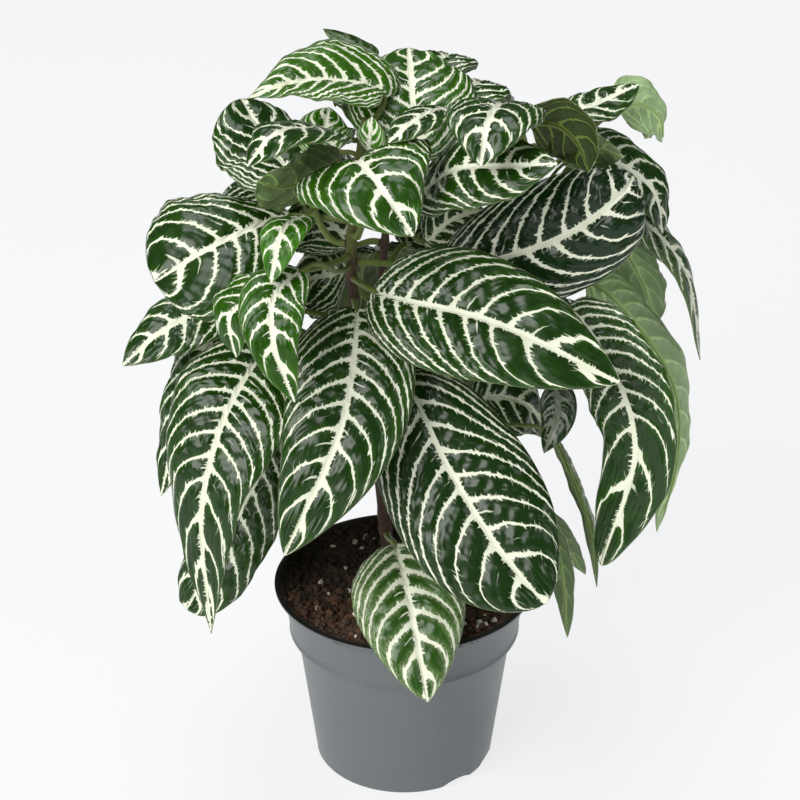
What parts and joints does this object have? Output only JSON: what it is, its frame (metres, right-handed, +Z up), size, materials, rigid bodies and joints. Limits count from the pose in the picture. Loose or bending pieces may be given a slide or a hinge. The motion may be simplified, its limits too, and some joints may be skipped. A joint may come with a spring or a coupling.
{
  "type": "potted zebra plant",
  "caption": "Leafy potted plant with a branching stem and large dark green leaves with cream veins, standing in a grey nursery pot filled with soil.",
  "frame": {"origin": "middle of the pot's underside, level with the surface it stands on", "axes": "+Z up the plant, -Y towards the side that the picture shows, +X to the right as seen from there"},
  "size_m": [0.3018, 0.2181, 0.4034],
  "materials": {
    "pot": "satin grey plastic, near black inside and on the lip",
    "soil": "matte crumbly peat with white grains",
    "stem": "matte reddish brown bark",
    "leaf": "glossy dark green with cream veins above, dull olive below",
    "young_leaf": "glossy bright green with cream veins"
  },
  "bodies": {
    "root": {"pot": "pot", "soil": "soil", "stem": "stem", "leaf_front_right": "leaf", "leaf_front_low": "leaf", "leaf_front_left": "leaf", "leaf_front_lowest": "leaf", "leaf_right_upper": "leaf", "leaf_right_low": "leaf", "leaf_left_low": "leaf", "leaf_left_under": "leaf", "leaf_left_middle": "leaf", "leaf_left_young_front": "young_leaf", "leaf_left_young_back": "young_leaf", "leaf_left_bright": "young_leaf", "leaf_left_far": "leaf", "leaf_top_left": "leaf", "leaf_top_rolled": "leaf", "leaf_top_under": "leaf", "leaf_top_centre": "leaf", "leaf_top_arch": "leaf", "leaf_top_upright": "leaf", "leaf_top_edge": "leaf", "leaf_top_droop": "leaf", "leaf_top_narrow": "leaf", "leaf_top_side": "leaf", "leaf_top_back_left": "leaf", "leaf_top_back_right": "leaf", "leaf_top_young_left": "young_leaf", "leaf_top_young_right": "young_leaf", "leaf_right_dark": "leaf", "leaf_right_olive": "leaf", "leaf_right_top": "leaf", "leaf_right_pale": "leaf", "leaf_right_back": "leaf", "leaf_right_hanging": "leaf", "leaf_right_pale_low": "leaf", "leaf_right_light": "leaf", "leaf_right_small": "leaf", "leaf_right_narrow": "leaf", "leaf_right_inner": "leaf", "leaf_low_back_right": "leaf", "leaf_low_right": "leaf", "leaf_inner_low": "leaf", "leaf_inner_top": "leaf", "leaf_left_tip": "leaf", "leaf_inner_left": "leaf", "leaf_inner_right": "leaf", "leaf_inner_high": "leaf", "leaf_inner_middle": "leaf", "leaf_back_top": "leaf", "leaf_back_left_high": "leaf", "leaf_back_right_high": "leaf", "leaf_back_middle": "leaf", "leaf_back_right_low": "leaf", "leaf_back_left_low": "leaf", "leaf_left_back": "leaf", "leaf_right_behind": "leaf", "leaf_left_back_high": "leaf", "leaf_back_lowest": "leaf"}
  },
  "joints": []
}
